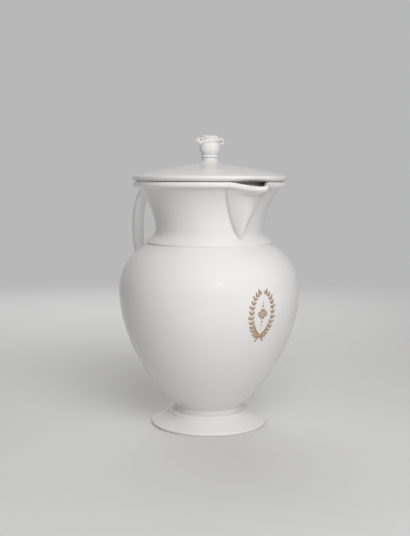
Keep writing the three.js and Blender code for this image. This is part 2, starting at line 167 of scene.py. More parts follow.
def round_axis(radius, angle, level):
    """Points round the pot's axis: (axis + radius times cosine, radius times sine, level)."""
    x, y = axis_x + radius * np.cos(angle), radius * np.sin(angle)
    return np.stack(np.broadcast_arrays(x, y, level), axis=-1)


def turned(name, outline, columns=256, crease=50):
    """A solid of revolution: its outline of radius and height carried all round the axis."""
    angle = full_turn(columns)
    points = round_axis(outline[:, :1], angle, outline[:, 1:])
    # The outline's hollows are painted darker, for glaze that gathers there and for their shade.
    return grid_mesh(name, points, hollowness(outline)[:, None] + 0 * angle, crease=crease)


def fill(target, inputs):
    """Gives inputs of a node, by number or by name, a value each or a link from another node."""
    for key, value in inputs.items():
        if isinstance(value, bpy.types.NodeSocket):
            target.id_data.links.new(value, target.inputs[key])
        else:
            target.inputs[key].default_value = value


def node(tree, kind, inputs=None, **settings):
    """A new node with its properties set by name and its inputs filled."""
    made = tree.nodes.new(kind)
    for key, value in settings.items():
        setattr(made, key, value)
    fill(made, inputs or {})
    return made


def reckon(tree, operation, *values, **settings):
    """The result of one arithmetic node on two or three values or outputs."""
    inputs = dict(enumerate(values))
    return node(tree, "ShaderNodeMath", inputs, operation=operation, **settings).outputs[0]


def noise(tree, place, scale, detail, roughness=0.5):
    """Fractal noise at a place, from 0 to 1."""
    inputs = {"Vector": place, "Scale": scale, "Detail": detail, "Roughness": roughness}
    return node(tree, "ShaderNodeTexNoise", inputs).outputs["Fac"]


def remap(tree, value, old, new, curve="LINEAR"):
    """A value carried from an old range to a new one and held at its ends."""
    inputs = {"Value": value, "From Min": old[0], "From Max": old[1]}
    inputs.update({"To Min": new[0], "To Max": new[1]})
    return node(tree, "ShaderNodeMapRange", inputs, interpolation_type=curve).outputs["Result"]


def mixed(tree, share, first, second):
    """A colour that goes from the first to the second as the share goes from 0 to 1."""
    inputs = {"Factor": share, "A": first, "B": second}
    return node(tree, "ShaderNodeMix", inputs, data_type="RGBA").outputs["Result"]


def new_group(name, inputs, outputs):
    """An empty node group with named inputs, given with their values, and named outputs."""
    group = bpy.data.node_groups.new(name, "ShaderNodeTree")
    for label, value in inputs.items():
        kind = "NodeSocketColor" if isinstance(value, tuple) else "NodeSocketFloat"
        made = group.interface.new_socket(name=label, in_out="INPUT", socket_type=kind)
        made.default_value = value
    for label, kind in outputs.items():
        group.interface.new_socket(name=label, in_out="OUTPUT", socket_type=kind)
    return group, node(group, "NodeGroupInput").outputs, node(group, "NodeGroupOutput")


def fired_glaze():
    """A node group for clear glaze on a white body: the colour drifts a little over a hand's
    breadth, turns to a darker colour where glaze gathers and where shade is painted into hollows,
    creases and under the lip, and carries a few faint iron specks; the surface has a fine
    orange-peel ripple and the faint rings that the turning tool leaves."""
    group, given, out = new_group(
        "fired_glaze",
        {
            "Body Color": (0.8, 0.8, 0.8, 1),
            "Pool And Shade Color": (0.7, 0.7, 0.7, 1),
            "Drift": 0.03,
            "Specks": 0.5,
            "Ripple": 0.1,
            "Gloss": 0.1,
        },
        {"Color": "NodeSocketColor", "Roughness": "NodeSocketFloat", "Normal": "NodeSocketVector"},
    )
    place = node(group, "ShaderNodeTexCoord").outputs["Object"]

    cloud = noise(group, place, scale=22, detail=3, roughness=0.55)
    spread = reckon(group, "MULTIPLY_ADD", cloud, 2, -1)
    drift = reckon(group, "MULTIPLY_ADD", spread, given["Drift"], 1)
    tint = {0: given["Body Color"], "Scale": drift}
    tinted = node(group, "ShaderNodeVectorMath", tint, operation="SCALE").outputs["Vector"]
    # The darkening share from each mesh: glaze that gathers in hollows, and painted shade in
    # creases and under the lip.
    pool_and_shade = node(group, "ShaderNodeAttribute", attribute_name="glaze_pool_and_shade").outputs["Fac"]
    pooled_and_shaded = mixed(group, pool_and_shade, tinted, given["Pool And Shade Color"])

    cells = {"Vector": place, "Scale": 130, "Randomness": 1}
    cell = node(group, "ShaderNodeTexVoronoi", cells).outputs
    dab = remap(group, cell["Distance"], (0.045, 0.02), (0, 1), "SMOOTHSTEP")
    chance = node(group, "ShaderNodeSeparateColor", {0: cell["Color"]}).outputs["Red"]
    speck = reckon(group, "MULTIPLY", dab, reckon(group, "GREATER_THAN", chance, 0.93))
    shown = reckon(group, "MULTIPLY", speck, given["Specks"])
    iron = (0.25, 0.17, 0.1, 1)
    color = mixed(group, shown, pooled_and_shaded, iron)

    wipe = noise(group, place, scale=60, detail=4, roughness=0.6)
    uneven = remap(group, wipe, (0.3, 0.7), (0.7, 1.35))
    rough = reckon(group, "MULTIPLY", uneven, given["Gloss"])

    peel = noise(group, place, scale=420, detail=1)
    waves = {"Vector": place, "Scale": 70, "Distortion": 1.2, "Detail": 2, "Detail Scale": 0.6}
    rings = node(group, "ShaderNodeTexWave", waves, wave_type="BANDS", bands_direction="Z")
    relief = reckon(group, "MULTIPLY_ADD", rings.outputs["Fac"], 0.35, peel)
    ripple = {"Strength": given["Ripple"], "Distance": 0.00002, "Height": relief}
    bump = node(group, "ShaderNodeBump", ripple).outputs["Normal"]
    fill(out, {"Color": color, "Roughness": rough, "Normal": bump})
    return group


def material(name):
    """A new material, its node tree and its Principled shader."""
    made = bpy.data.materials.new(name)
    made.use_nodes = True
    return made, made.node_tree, made.node_tree.nodes["Principled BSDF"]


def porcelain(body, pool_and_shade_color, **finish):
    """White hard-paste porcelain under a clear glossy glaze, a little warm and translucent."""
    made, tree, shader = material("glazed_porcelain")
    inputs = {"Body Color": body, "Pool And Shade Color": pool_and_shade_color, **finish}
    glaze = node(tree, "ShaderNodeGroup", inputs, node_tree=fired_glaze()).outputs
    surface = {
        "Base Color": glaze["Color"],
        "Roughness": glaze["Roughness"],
        "Normal": glaze["Normal"],
        "IOR": 1.5,
        "Subsurface Weight": 0.1,
        "Subsurface Radius": (1.0, 0.8, 0.6),
        "Subsurface Scale": 0.002,
    }
    fill(shader, surface)
    return made


def biscuit():
    """Bare fired porcelain, dry and faintly grainy, where the glaze is wiped off."""
    made, tree, shader = material("bare_biscuit")
    place = node(tree, "ShaderNodeTexCoord").outputs["Object"]
    grain = noise(tree, place, scale=900, detail=5)
    tone = node(tree, "ShaderNodeValToRGB", {"Fac": grain})
    tone.color_ramp.elements[0].color = (0.50, 0.47, 0.43, 1)
    tone.color_ramp.elements[1].color = (0.68, 0.66, 0.62, 1)
    bump = node(tree, "ShaderNodeBump", {"Strength": 0.4, "Distance": 0.00005, "Height": grain})
    color, normal = tone.outputs["Color"], bump.outputs["Normal"]
    fill(shader, {"Base Color": color, "Normal": normal, "Roughness": 0.75})
    return made


# The second colour is darker than the body: glaze that gathers in hollows, and shade painted into
# creases and under the lip.
glazed = porcelain(
    body=(0.80, 0.793, 0.78, 1),
    pool_and_shade_color=(0.66, 0.645, 0.62, 1),
    Gloss=0.09,
    Ripple=0.35,
    Specks=0.3,
    Drift=0.025,
)
bare = biscuit()


def fit(piece, body, finish, *nodes):
    """Gives a piece its material and its body, and hides the solids that it stands for."""
    piece.data.materials.append(finish)
    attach(piece, body)
    if nodes:
        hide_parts(*nodes)


def wipe_bare(piece, radii, heights):
    """Leaves the faces whose centres lie between two radii and two heights bare of glaze."""
    piece.data.materials.append(bare)
    centre = np.empty(len(piece.data.polygons) * 3)
    piece.data.polygons.foreach_get("center", centre)
    x, y, z = 1000 * centre.reshape(-1, 3).T
    radius = np.hypot(x - axis_x, y)
    clean = (radius > radii[0]) & (radius < radii[1]) & (z > heights[0]) & (z < heights[1])
    piece.data.polygons.foreach_set("material_index", clean.astype(np.int32))


edge_top = (foot_radius - foot_edge * 0.6, foot_edge)
edge_foot = (foot_ring_outside, 0.3)
ring_inside = (foot_ring_inside + foot_ring_round, foot_ring_round)
ring_outside = (foot_ring_outside - 0.4, foot_ring_round)
foot_outline = profile(
    arc(ring_inside, foot_ring_round, 180, 270, 5),
    arc(ring_outside, foot_ring_round, 270, 320, 4),
    bend(edge_foot, (foot_radius + 0.1, 0.9), (foot_radius + 0.1, 2.1), edge_top, 16),
    bend(edge_top, (40.3, 5), (35.6, 6.9), cove_end),
    bend(cove_end, (32.2, 10.6), (32.8, 11.2), ledge, 12),
    bend(ledge, (29.5, 11.5), (waist_radius, 12.5), (waist_radius, foot_height), 16),
    (waist_radius, foot_height),
    (stem_bore, foot_height),
    bend((stem_bore, foot_height), (25, 10.6), (32.3, 4.8), (39.5, 1.6)),
    (foot_ring_inside - 0.4, 1.1),
)
foot = turned("foot_glazed", foot_outline)
fit(foot, "pot", glazed, "foot")
wipe_bare(foot, (foot_ring_inside - 0.2, foot_ring_outside - 0.2), (-1, 0.4))

# Belly
# The pear-shaped bowl that holds the brew, thrown in one piece with a wall of about 4 mm and
# turned outside. Its open top is luted to the neck, which stands back from it by a small ledge.
wall = 4.0
belly_radius = 71.7
belly_floor = foot_height + 6.0
widest_level = 106.0
shoulder_radius = 50.2
shoulder_bore = 42.8
shoulder_level = 144.0
shoulder_bevel = 0.35

stem_top = (31.0, 18.5)
widest = (belly_radius, widest_level)
shoulder_edge = (shoulder_radius, shoulder_level - shoulder_bevel)
belly_side = np.concatenate(
    [
        bend((waist_radius, foot_height), (waist_radius, 15.8), (29.5, 17.1), stem_top, 14),
        bend(stem_top, (47.9, 35.1), (belly_radius, 72.1), widest, 90),
        bend(widest, (belly_radius, 117.5), (69.3, 131.9), shoulder_edge, 60),
    ]
)
bore_top = (shoulder_bore, shoulder_level)
bore_widest = (belly_radius - wall, widest_level)
belly_outline = profile(
    (0, foot_height),
    belly_side,
    shoulder_edge,
    (shoulder_radius - shoulder_bevel, shoulder_level),
    bend(bore_top, (62.6, 131), (belly_radius - wall, 118), bore_widest, 40),
    bend(bore_widest, (belly_radius - wall, 70), (38.9, belly_floor), (0, belly_floor), 50),
    (0, belly_floor),
)
belly = turned("belly_glazed", belly_outline)
fit(belly, "pot", glazed, "belly")

# Neck and pouring beak
# The neck is thrown flaring, with a rolled rim and a fine ring at its foot, and a V is cut out of
# it. The beak is pressed in a mould and set into the V, so that its walls swell out of the neck
# and its lip runs on from the rim, dips towards the nose and stands out over the beak below.
neck_base_radius = 49.75
neck_ring = (49.9, 145.6)
throat_radius = 42.7
throat_level = 156.0
rim_level = 192.5
rim_radius = 60.5
rim_roll = 2.1
mouth_radius = 54.3
roll_level = rim_level - rim_roll
neck_top_level = rim_level - 2 * rim_roll
neck_top_radius = 57.56
beak_tip_level = 149.6
beak_half_width = 20.2
beak_blunt = 0.1
beak_lean = -2.0
beak_straight_nose = 62.9
beak_roundness = 2.0
beak_least_slope = 0.8
beak_soft_edge = 0.25
beak_soft_lip = 0.5
beak_flare = 5.1
beak_flare_levels = (184.4, 187.8)
beak_flare_reach = (3.0, 12.0)
beak_groove = 0.3
beak_groove_width = 0.6
lip_drop = 3.0
lip_drop_level = 176.0
lip_low = (-4.0, 1.0)
lip_ends = (-19.5, 14.0)
lip_roundness = 0.4
seam_sink = 0.1
# Width of the painted crease shade along the V's edge, where glaze also gathers.
seam_darkening_width = 0.9


def smooth(low, high, value):
    """The smoothstep between two values: 3 t squared less 2 t cubed."""
    t = np.clip((value - low) / (high - low), 0, 1)
    return t * t * (3 - 2 * t)


neck_base = (neck_base_radius, shoulder_level)
throat = (throat_radius, throat_level)
neck_top = (neck_top_radius, neck_top_level)
outside_curve = np.concatenate(
    [
        bend(neck_base, (49.6, 144.5), (50.1, 144.9), neck_ring, 16),
        bend(neck_ring, (49.2, 147.4), (42.8, 149.8), throat, 60),
        bend(throat, (throat_radius, 165.7), (50.76, 185.7), neck_top, 90),
        [neck_top],
    ]
)
inside_throat = (throat_radius - wall, throat_level)
inside_mouth = (mouth_radius - 1.6, rim_level - 2)
rounded_mouth = (mouth_radius + 1.2, rim_level)
inside_curve = np.concatenate(
    [
        bend(bore_top, (40.8, 146), (throat_radius - wall, 149), inside_throat, 60),
        bend(inside_throat, (throat_radius - wall, 165.7), (48.3, 184.8), inside_mouth, 90),
        bend(inside_mouth, (53.5, 191.5), (mouth_radius, rim_level), rounded_mouth, 20),
        [rounded_mouth],
    ]
)


def neck_outside(level):
    """Radius of the neck's outer side at a height, and over it of the rolled rim's half circle."""
    body = np.interp(level, outside_curve[:, 1], outside_curve[:, 0])
    rise = np.clip((level - roll_level) / rim_roll, -1, 1)
    roll = rim_radius - rim_roll + rim_roll * np.sqrt(1 - rise**2)
    return np.where(level < neck_top_level - 1e-6, body, roll)


def neck_inside(level):
    """Radius of the neck's inner side at a height."""
    return np.interp(level, inside_curve[:, 1], inside_curve[:, 0])


def opening(share):
    """Half width of the V as a share of its full one: the share of its height, and a little of
    that share's fourth root, which blunts the tip."""
    return (1 - beak_blunt) * share + beak_blunt * share**0.25


def swell(across, level, inset):
    """How far a point of the neck moves out along X to lie on the beak. The V leans sideways by a
    length that falls evenly from its tip to the rim. The beak's section runs from the V's edges to
    its nose as 1 less the square of the share across, and falls on outside the V at the slope that
    it has at the edge. The lip's flare is added, by the smoothstep of the height and 1 less the
    smoothstep of the way from the nose. A softplus rounds the swell off to nothing outside the V,
    which leaves a fillet along its edge, and a narrow bell curve sinks a groove into that."""
    tip = beak_tip_level + 2 * inset
    below = np.minimum(level, neck_top_level - 1e-3)
    height = np.clip((below - tip) / (neck_top_level - tip), 1e-4, 1)
    half = (beak_half_width - inset) * opening(height)
    base = neck_inside(below) if inset else neck_outside(below)
    root = np.sqrt(base**2 - half**2)
    start = neck_outside(np.array(beak_tip_level))
    rise = (below - beak_tip_level) / (neck_top_level - beak_tip_level)
    nose = start + (beak_straight_nose - start) * rise - inset
    across = np.abs(across - beak_lean * (1 - np.clip(rise, 0, 1)))
    flare_start, flare_end = beak_flare_levels
    flare = beak_flare * smooth(flare_start - inset, flare_end + inset / 2, level)
    flare = flare * (1 - smooth(*beak_flare_reach, across))
    share = np.minimum(across / half, 1)
    face = root + (nose - root) * (1 - share**beak_roundness) + flare
    slope = np.maximum(beak_roundness * (nose - root) / half - half / root, beak_least_slope)
    beyond = np.maximum(across - half, 0)
    raw = face - np.sqrt(base**2 - np.minimum(across, half) ** 2) - slope * beyond
    soft = beak_soft_edge + beak_soft_lip * smooth(neck_top_level - 8, neck_top_level, level)
    out = soft * np.logaddexp(0, np.clip(raw / soft, -40, 400))
    groove = np.exp(-(((across - half) / beak_groove_width) ** 2)) * (1 - inset / wall)
    groove = groove * (1 - smooth(neck_top_level - 3, neck_top_level, level))
    groove = beak_groove * groove * smooth(tip - 1, tip + 1, level)
    return out * smooth(tip - 4, tip, level) - groove


# Heights of the rows up one side of the wall. The height of the V's tip comes twice: the cut
# starts at the second.
levels = np.concatenate(
    [
        np.linspace(shoulder_level, neck_top_level, 73)[:-1],
        np.linspace(shoulder_level + 0.2, shoulder_level + 2.8, 11),
        [beak_tip_level] * 2,
        roll_level + rim_roll * np.sin(np.radians(np.linspace(-90, 90, 17))),
    ]
)
levels = np.sort(levels)
above_tip = np.arange(len(levels)) > np.argmax(levels == beak_tip_level)
crest_share = np.arange(1, 6) / 6
crest = np.linspace(rim_radius - rim_roll, mouth_radius + 1.2, len(crest_share) + 2)[1:-1]
row_radius = np.concatenate([neck_outside(levels), crest, neck_inside(levels)[::-1]])[:, None]
row_level = np.concatenate([levels, np.full(len(crest), rim_level), levels[::-1]])[:, None]
row_inner = np.concatenate([0 * levels, crest_share, 0 * levels + 1])[:, None]
row_cut = np.concatenate([above_tip, np.full(len(crest), True), above_tip[::-1]])
# The hollows of the wall's profile are painted darker: glaze that gathers there, and their shade.
row_pool_and_shade = hollowness(profile(np.column_stack([row_radius, row_level])))[:-1, None]
rise_share = np.clip((row_level - beak_tip_level) / (neck_top_level - beak_tip_level), 0, 1)
row_width = beak_half_width * opening(rise_share)
row_middle = beak_lean * (1 - rise_share)


def neck_point(angle):
    """Points of the wall at angles round the axis, row by row: the turned neck, moved out along X
    by the swell of the beak, outer or inner or a mean of both over the rim, and down by the dip of
    its lip."""
    across = row_radius * np.sin(angle)
    out = (1 - row_inner) * swell(across, row_level, 0)
    out = out + row_inner * swell(across, row_level, wall)
    sides = zip(lip_low, lip_ends)
    climb = np.maximum(*[np.clip((across - low) / (end - low), 0, 1) for low, end in sides])
    dip = lip_drop * (1 - (1 - lip_roundness) * climb - lip_roundness * smooth(0, 1, climb))
    dip = dip * smooth(lip_drop_level, neck_top_level, row_level)
    front = np.cos(angle) > 0
    x = axis_x + row_radius * np.cos(angle) + np.where(front, out, 0)
    return np.stack([x, across, row_level - np.where(front, dip, 0)], axis=-1)


def wall_stretch(angle):
    """Points, darkening and normals of a stretch of the wall. Where the V is cut, its sides are
    shut along a line in the middle of the wall, sunk by a share of the wall's thickness. A normal
    is the cross product of the surface's run up the rows and its run round the axis, so that neck
    and beak shade alike along the V. The darkening is glaze that gathers in the profile's hollows
    and along the V's edge together with painted shade in those creases, and a painted shadow under
    the lip."""
    points = neck_point(angle)
    round_step = neck_point(angle + 1e-3) - neck_point(angle - 1e-3)
    normals = np.cross(np.gradient(points, axis=0), round_step)
    normals /= np.linalg.norm(normals, axis=-1, keepdims=True) + 1e-12
    front = (row_inner < 0.5) * (np.cos(angle) > 0)
    # Painted crease shade along the V's edge, where glaze also gathers in the joint.
    off_edge = (np.abs(points[..., 1] - row_middle) - row_width) / seam_darkening_width
    seam = np.exp(-(off_edge**2)) * row_cut[:, None] * front
    pool_and_shade = np.maximum(row_pool_and_shade + 0 * angle, 0.9 * seam * (row_level < neck_top_level))
    # A painted shadow under the beak's flared lip.
    lip_shadow = 1 - smooth(0, 3, np.abs(row_level - beak_flare_levels[0] - 0.6))
    lip_shadow = lip_shadow * (1 - smooth(8, 18, np.abs(points[..., 1]))) * front
    pool_and_shade = np.maximum(pool_and_shade, lip_shadow)
    sides = points[:, [0, -1]]
    thickness = np.linalg.norm(sides - sides[::-1], axis=-1, keepdims=True)
    middle = (sides + sides[::-1]) / 2 - thickness * (0, 0, seam_sink)
    sides = np.where(row_cut[:, None, None], middle, sides)
    points = np.concatenate([sides[:, :1], points, sides[:, 1:]], axis=1)
    normals = np.concatenate([normals[:, :1], normals, normals[:, -1:]], axis=1)
    pool_and_shade = np.concatenate([pool_and_shade[:, :1], pool_and_shade, pool_and_shade[:, -1:]], axis=1)
    return points, pool_and_shade, normals


# The neck's columns run the long way round from one edge of the V to the other and lie closest
# near the V; the beak's fill the V and lie closest at its edges.
edges = [np.arcsin((row_middle + side * row_width) / row_radius) for side in (1, -1)]
neck_sides = np.linspace(0, 1, 289)
neck_sides = neck_sides - 0.75 * np.sin(2 * np.pi * neck_sides) / (2 * np.pi)
neck_grid = wall_stretch(edges[0] + neck_sides * (2 * np.pi + edges[1] - edges[0]))
neck_grid = [np.concatenate([part, part[:1]]) for part in neck_grid]
neck = grid_mesh("neck_glazed", *neck_grid)
fit(neck, "pot", glazed, "neck")
beak_sides = np.sin(np.linspace(-np.pi / 2, np.pi / 2, 91))
beak_grid = wall_stretch(np.arcsin((row_middle + row_width * beak_sides) / row_radius))
beak = grid_mesh("beak_glazed", *[part[row_cut] for part in beak_grid])
fit(beak, "pot", glazed, "spout")

# Handle
# A strap pulled from a lump of porcelain, bent into an ear and luted under the rim and on the
# belly. Its roots are smoothed out over both with a wet finger, which leaves a small fillet.
handle_width = 10.6
handle_thickness = 6.5
handle_back = (-belly_radius - 45.6, widest_level + 45)
handle_swing = 23.5
handle_top = (-48.0, 183.0)
handle_foot = (wall - belly_radius, 99.0)
handle_fillet = 1.7
handle_fillet_reach = 3.2
handle_root = 2.2
handle_depth = 1.9
handle_push = 1.5
handle_squareness = 2.3


def unit(vectors):
    """Vectors made one long."""
    return vectors / (np.linalg.norm(vectors, axis=-1, keepdims=True) + 1e-12)


def sweep(path, across, half_across, half_out, squareness, around=40):
    """A closed tube of superellipse sections along a path. A section's points lie at the centre
    plus cos and sin of an angle, each to the power of two over the squareness, times the half
    sizes across and out. It gives the points and, for each, the way out of the centre."""
    angle = full_turn(around)
    waves = np.array([np.cos(angle), np.sin(angle)])
    side, rise = np.sign(waves) * np.abs(waves) ** (2 / squareness)
    out = unit(np.cross(across, np.gradient(path, axis=0)))
    offset = side[None, :, None] * half_across[:, None, None] * across
    offset = offset + rise[None, :, None] * half_out[:, None, None] * out[:, None]
    return path[:, None] + offset, unit(offset)


def shut_ends(points):
    """Tubes with a last ring at each end of their grids drawn together in its middle."""
    middles = points[..., [0, -1], :-1, :].mean(axis=-2, keepdims=True)
    ends = np.repeat(middles, points.shape[-2], axis=-2)
    return np.concatenate([ends[..., :1, :, :], points, ends[..., 1:, :, :]], axis=-3)


back_x, back_z = handle_back
handle_curve = np.concatenate(
    [
        bend(handle_top, (back_x + 12, 205), (back_x, back_z + handle_swing), handle_back, 200),
        bend(handle_back, (back_x, back_z - handle_swing), (back_x + 18, 99), handle_foot, 200),
    ]
)
pot_skin = np.concatenate([belly_side, np.column_stack([neck_outside(levels), levels])])


def skin_gap(radius, level):
    """Distance of points from the outside of the pot, below zero inside it."""
    gap = np.hypot(radius[..., None] - pot_skin[:, 0], level[..., None] - pot_skin[:, 1])
    inside = np.where(
        level < shoulder_level,
        radius < np.interp(level, belly_side[:, 1], belly_side[:, 0]),
        (radius < neck_outside(level)) & (level < rim_level),
    )
    return np.where(inside, -1, 1) * gap.min(axis=-1)


def handle_gap():
    """Distance of the strap's skin, as it is now, from the outside of the pot."""
    off_axis = np.hypot(handle_skin[..., 0] - axis_x, handle_skin[..., 1])
    return skin_gap(off_axis, handle_skin[..., 2])


buried = skin_gap(-handle_curve[:, 0], handle_curve[:, 1])
handle_curve = handle_curve[buried > -handle_root]
handle_run = length_along(handle_curve)
ring_places = handle_run[-1] * (0.5 - 0.5 * np.cos(np.linspace(0, np.pi, 220)))
handle_x, handle_z = (np.interp(ring_places, handle_run, handle_curve[:, k]) for k in (0, 1))
handle_path = np.column_stack([axis_x + handle_x, 0 * handle_x, handle_z])
handle_halves = np.full((2, len(handle_path)), [[handle_width / 2], [handle_thickness / 2]])
strap_across = np.array([0.0, 1, 0])
handle_skin, handle_out = sweep(handle_path, strap_across, *handle_halves, handle_squareness, 56)
# The skin swells by the square of its nearness to the pot, and nothing sinks deep into the wall.
root_gap = handle_gap()
nearness = 1 - np.clip(root_gap / handle_fillet_reach, 0, 1)
handle_skin = handle_skin + handle_fillet * nearness[..., None] ** 2 * handle_out
handle_skin[..., 0] -= handle_push * np.maximum(-handle_gap() - handle_depth, 0)
# The roots are painted darker where they meet the pot: glaze that gathers in the fillet, and
# painted shade in the crease.
handle_root_pool_and_shade = 0.8 * np.exp(-(((root_gap - 0.6) / 1.0) ** 2))
handle_root_pool_and_shade = np.concatenate([handle_root_pool_and_shade[:1], handle_root_pool_and_shade, handle_root_pool_and_shade[-1:]])
handle = grid_mesh("handle_glazed", shut_ends(handle_skin), handle_root_pool_and_shade, crease=70)
fit(handle, "pot", glazed, "handle")

# Gilding
# A wreath of laurel with a rosette, painted in gold with fine brown edges on the front of the
# belly and fired a third time. The gold stands a little proud of the glaze.
wreath_level = 96.5
wreath_half_width = 9.3
wreath_half_height = 16.5
stem_width = 0.55
stem_pieces = 4
berry_radius = 0.55
gold_height = 0.12
gold_sink = 0.06
stroke_steps = 13

belly_run = length_along(belly_side)
belly_out = unit(np.gradient(belly_side, axis=0))[:, ::-1] * (1, -1)


def on_belly(across, up, lift):
    """Points on the belly from a flat drawing: its height is a length along the belly's outline
    from the wreath's middle, its width an arc round the belly, and the lift is square to the
    glaze."""
    middle = np.interp(wreath_level, belly_side[:, 1], belly_run)
    columns = (belly_side[:, 0], belly_side[:, 1], belly_out[:, 0], belly_out[:, 1])
    r, z, out_r, out_z = (np.interp(middle + up, belly_run, column) for column in columns)
    turn = across / np.interp(middle, belly_run, belly_side[:, 0])
    return round_axis(r + out_r * lift, turn, z + out_z * lift)


def brush(paths, widths):
    """Brush strokes: low closed ridges along flat paths. Across a stroke its height is the 0.6th
    power of the sine of an angle that runs from one edge over the crest to the other."""
    along = np.gradient(paths, axis=1)
    side = unit(np.stack([-along[..., 1], along[..., 0]], axis=-1))
    angle = full_turn(12)
    spread = widths[..., None] / 2 * np.cos(angle)
    flat = paths[:, :, None] + side[:, :, None] * spread[..., None]
    full = np.minimum(widths / 0.5, 1)[..., None]
    sine = np.sin(angle) * (np.abs(np.sin(angle)) > 1e-9)
    lift = full * np.where(sine > 0, gold_height * np.abs(sine) ** 0.6, gold_sink * sine)
    return on_belly(flat[..., 0], flat[..., 1], lift), np.abs(np.cos(angle)) + 0 * lift


def leaf(base, heading, length, width, curl=0.0):
    """Leaves as strokes: from base points along headings in degrees, bent by a curl; the width
    swells as the 0.8th power of a sine, fullest a little below the middle."""
    t = np.linspace(0, 1, stroke_steps)
    turn = np.radians(heading)[:, None] + curl * (2 * t - 1)
    step = np.stack([np.cos(turn), np.sin(turn)], axis=-1)
    step = step * (length / (stroke_steps - 1))[:, None, None]
    path = base[:, None] + np.cumsum(step, axis=1) - step[:, :1]
    return path, width[:, None] * np.sin(np.pi * t**0.85) ** 0.8


def dots(centre, radius):
    """Round dabs of the brush, as strokes whose width is a circle's chord."""
    t = np.cos(np.linspace(np.pi, 0, stroke_steps))
    path = centre[:, None] + radius[:, None, None] * np.stack([t, 0 * t], axis=-1)
    return path, 2 * radius[:, None] * np.sqrt(1 - t**2)


def gather(parts):
    """The paths of several sets of strokes in one array, and their widths in another."""
    return [np.concatenate([part[k] for part in parts]) for k in (0, 1)]


def branch(mirror):
    """One laurel branch up the side of the wreath: paired leaves, end leaf, berries and stem. The
    stem is drawn in a few strokes, each of which starts a little inside the one before it."""
    oval = np.array([wreath_half_width, wreath_half_height])
    angle = np.linspace(-82, 66, 12)
    base = toward(angle) * oval
    growth = (toward(angle + 90) * oval).T
    heading = np.degrees(np.arctan2(growth[1], growth[0]))
    size = np.linspace(4.9, 3.5, len(angle))
    joint = np.linspace(-88, 66, stem_pieces + 1)
    stem = np.linspace(joint[:-1] - 1.5, joint[1:], stroke_steps).T
    stem = (toward(stem.ravel()) * oval).reshape(stem_pieces, stroke_steps, 2)
    berry = toward(angle[1::2] + 5) * (oval + 2.6)
    parts = [
        leaf(base, heading - 36, size, 0.36 * size, 0.25),
        leaf(base, heading + 36, 0.9 * size, 0.33 * size, -0.25),
        leaf(base[-1:], heading[-1:] + 4, np.array([3.6]), np.array([1.3])),
        dots(berry, np.full(len(berry), berry_radius)),
        (stem, np.full(stem.shape[:2], stem_width)),
    ]
    paths, widths = gather(parts)
    return paths * (mirror, 1), widths


def rosette():
    """The flower in the middle: eight petals round a boss, with beads above and below it."""
    petals = np.arange(8) * 45 + 22.5
    sepals = petals[::2] - 22.5
    beads = np.array([6.0, 8.1, 9.7, -6.0, -8.1, -9.7])
    parts = [
        leaf(1.25 * toward(petals), petals, np.full(8, 3.1), np.full(8, 1.75)),
        leaf(3.0 * toward(sepals), sepals, np.full(4, 1.7), np.full(4, 0.7)),
        dots(np.zeros((1, 2)), np.array([1.0])),
        dots(np.column_stack([0 * beads, beads]), np.array([0.75, 0.5, 0.35] * 2)),
    ]
    return gather(parts)


knot = np.array([0.0, -wreath_half_height - 0.4])


def ribbon(mirror):
    """Half of the bow that ties the branches: a loop in two strokes, and a tail."""
    far, end = knot + (5.4, 0.6), knot + (3.8, -5.2)
    t = np.linspace(0, 1, stroke_steps)
    strokes = [
        bend(knot + (0.3, 0.3), knot + (2.0, 2.6), far + (-0.2, 2.4), far, stroke_steps),
        bend(knot + (0.3, -0.1), knot + (1.6, -1.6), far + (-0.6, -2.8), far, stroke_steps),
        bend(knot + (0.2, -0.4), knot + (0.4, -2.4), end + (-0.2, 2.6), end, stroke_steps),
    ]
    widths = [0.5 + 0.9 * np.sin(np.pi * t), 0.5 + 0.6 * np.sin(np.pi * t), 0.6 + 0.9 * t]
    return np.stack(strokes) * (mirror, 1), np.stack(widths)


drawing = [branch(1), branch(-1), rosette(), ribbon(1), ribbon(-1), dots(knot[None], np.ones(1))]
gold_points, gold_edge = brush(*gather(drawing))
gold_edge = np.concatenate([gold_edge[:, :1], gold_edge, gold_edge[:, -1:]], axis=1)


def gilt():
    """Burnished gold over brown enamel: the crest of a stroke is worn gold, its edges are brown,
    and the gold is mottled where the brush left it thin."""
    made, tree, shader = material("gilding")
    place = node(tree, "ShaderNodeTexCoord").outputs["Object"]
    thin = noise(tree, place, scale=700, detail=3)
    edge = node(tree, "ShaderNodeAttribute", attribute_name="stroke_edge").outputs["Fac"]
    mottled = reckon(tree, "MULTIPLY_ADD", thin, 0.35, edge)
    brown = remap(tree, mottled, (0.62, 1.0), (0, 1), "SMOOTHSTEP")
    tone = mixed(tree, brown, (0.62, 0.42, 0.24, 1), (0.20, 0.12, 0.06, 1))
    metal = reckon(tree, "SUBTRACT", 0.7, brown, use_clamp=True)
    fill(shader, {"Base Color": tone, "Metallic": metal, "Roughness": 0.36})
    return made


gold = grid_mesh("gilt_wreath", shut_ends(gold_points), gold_edge, crease=60, mark="stroke_edge")
fit(gold, "pot", gilt())

# Lid
# A low domed cover, thrown and turned, with a thick rounded edge that stands a little over the
# rim. The ring that it bears on is left bare, so that it doesn't fire fast to the pot.
rest_level = rim_level + 0.3
lid_edge_foot = (60.2, 193.9)
lid_edge_top = (59.3, 197.4)
lid_bearing = (48.7, 57.0)
seat_radius = 8.6
seat_level = 207.3
dome_level = 203.3
flange_root = 196.0
flange_radius = 47.4
flange_bore = 44.2

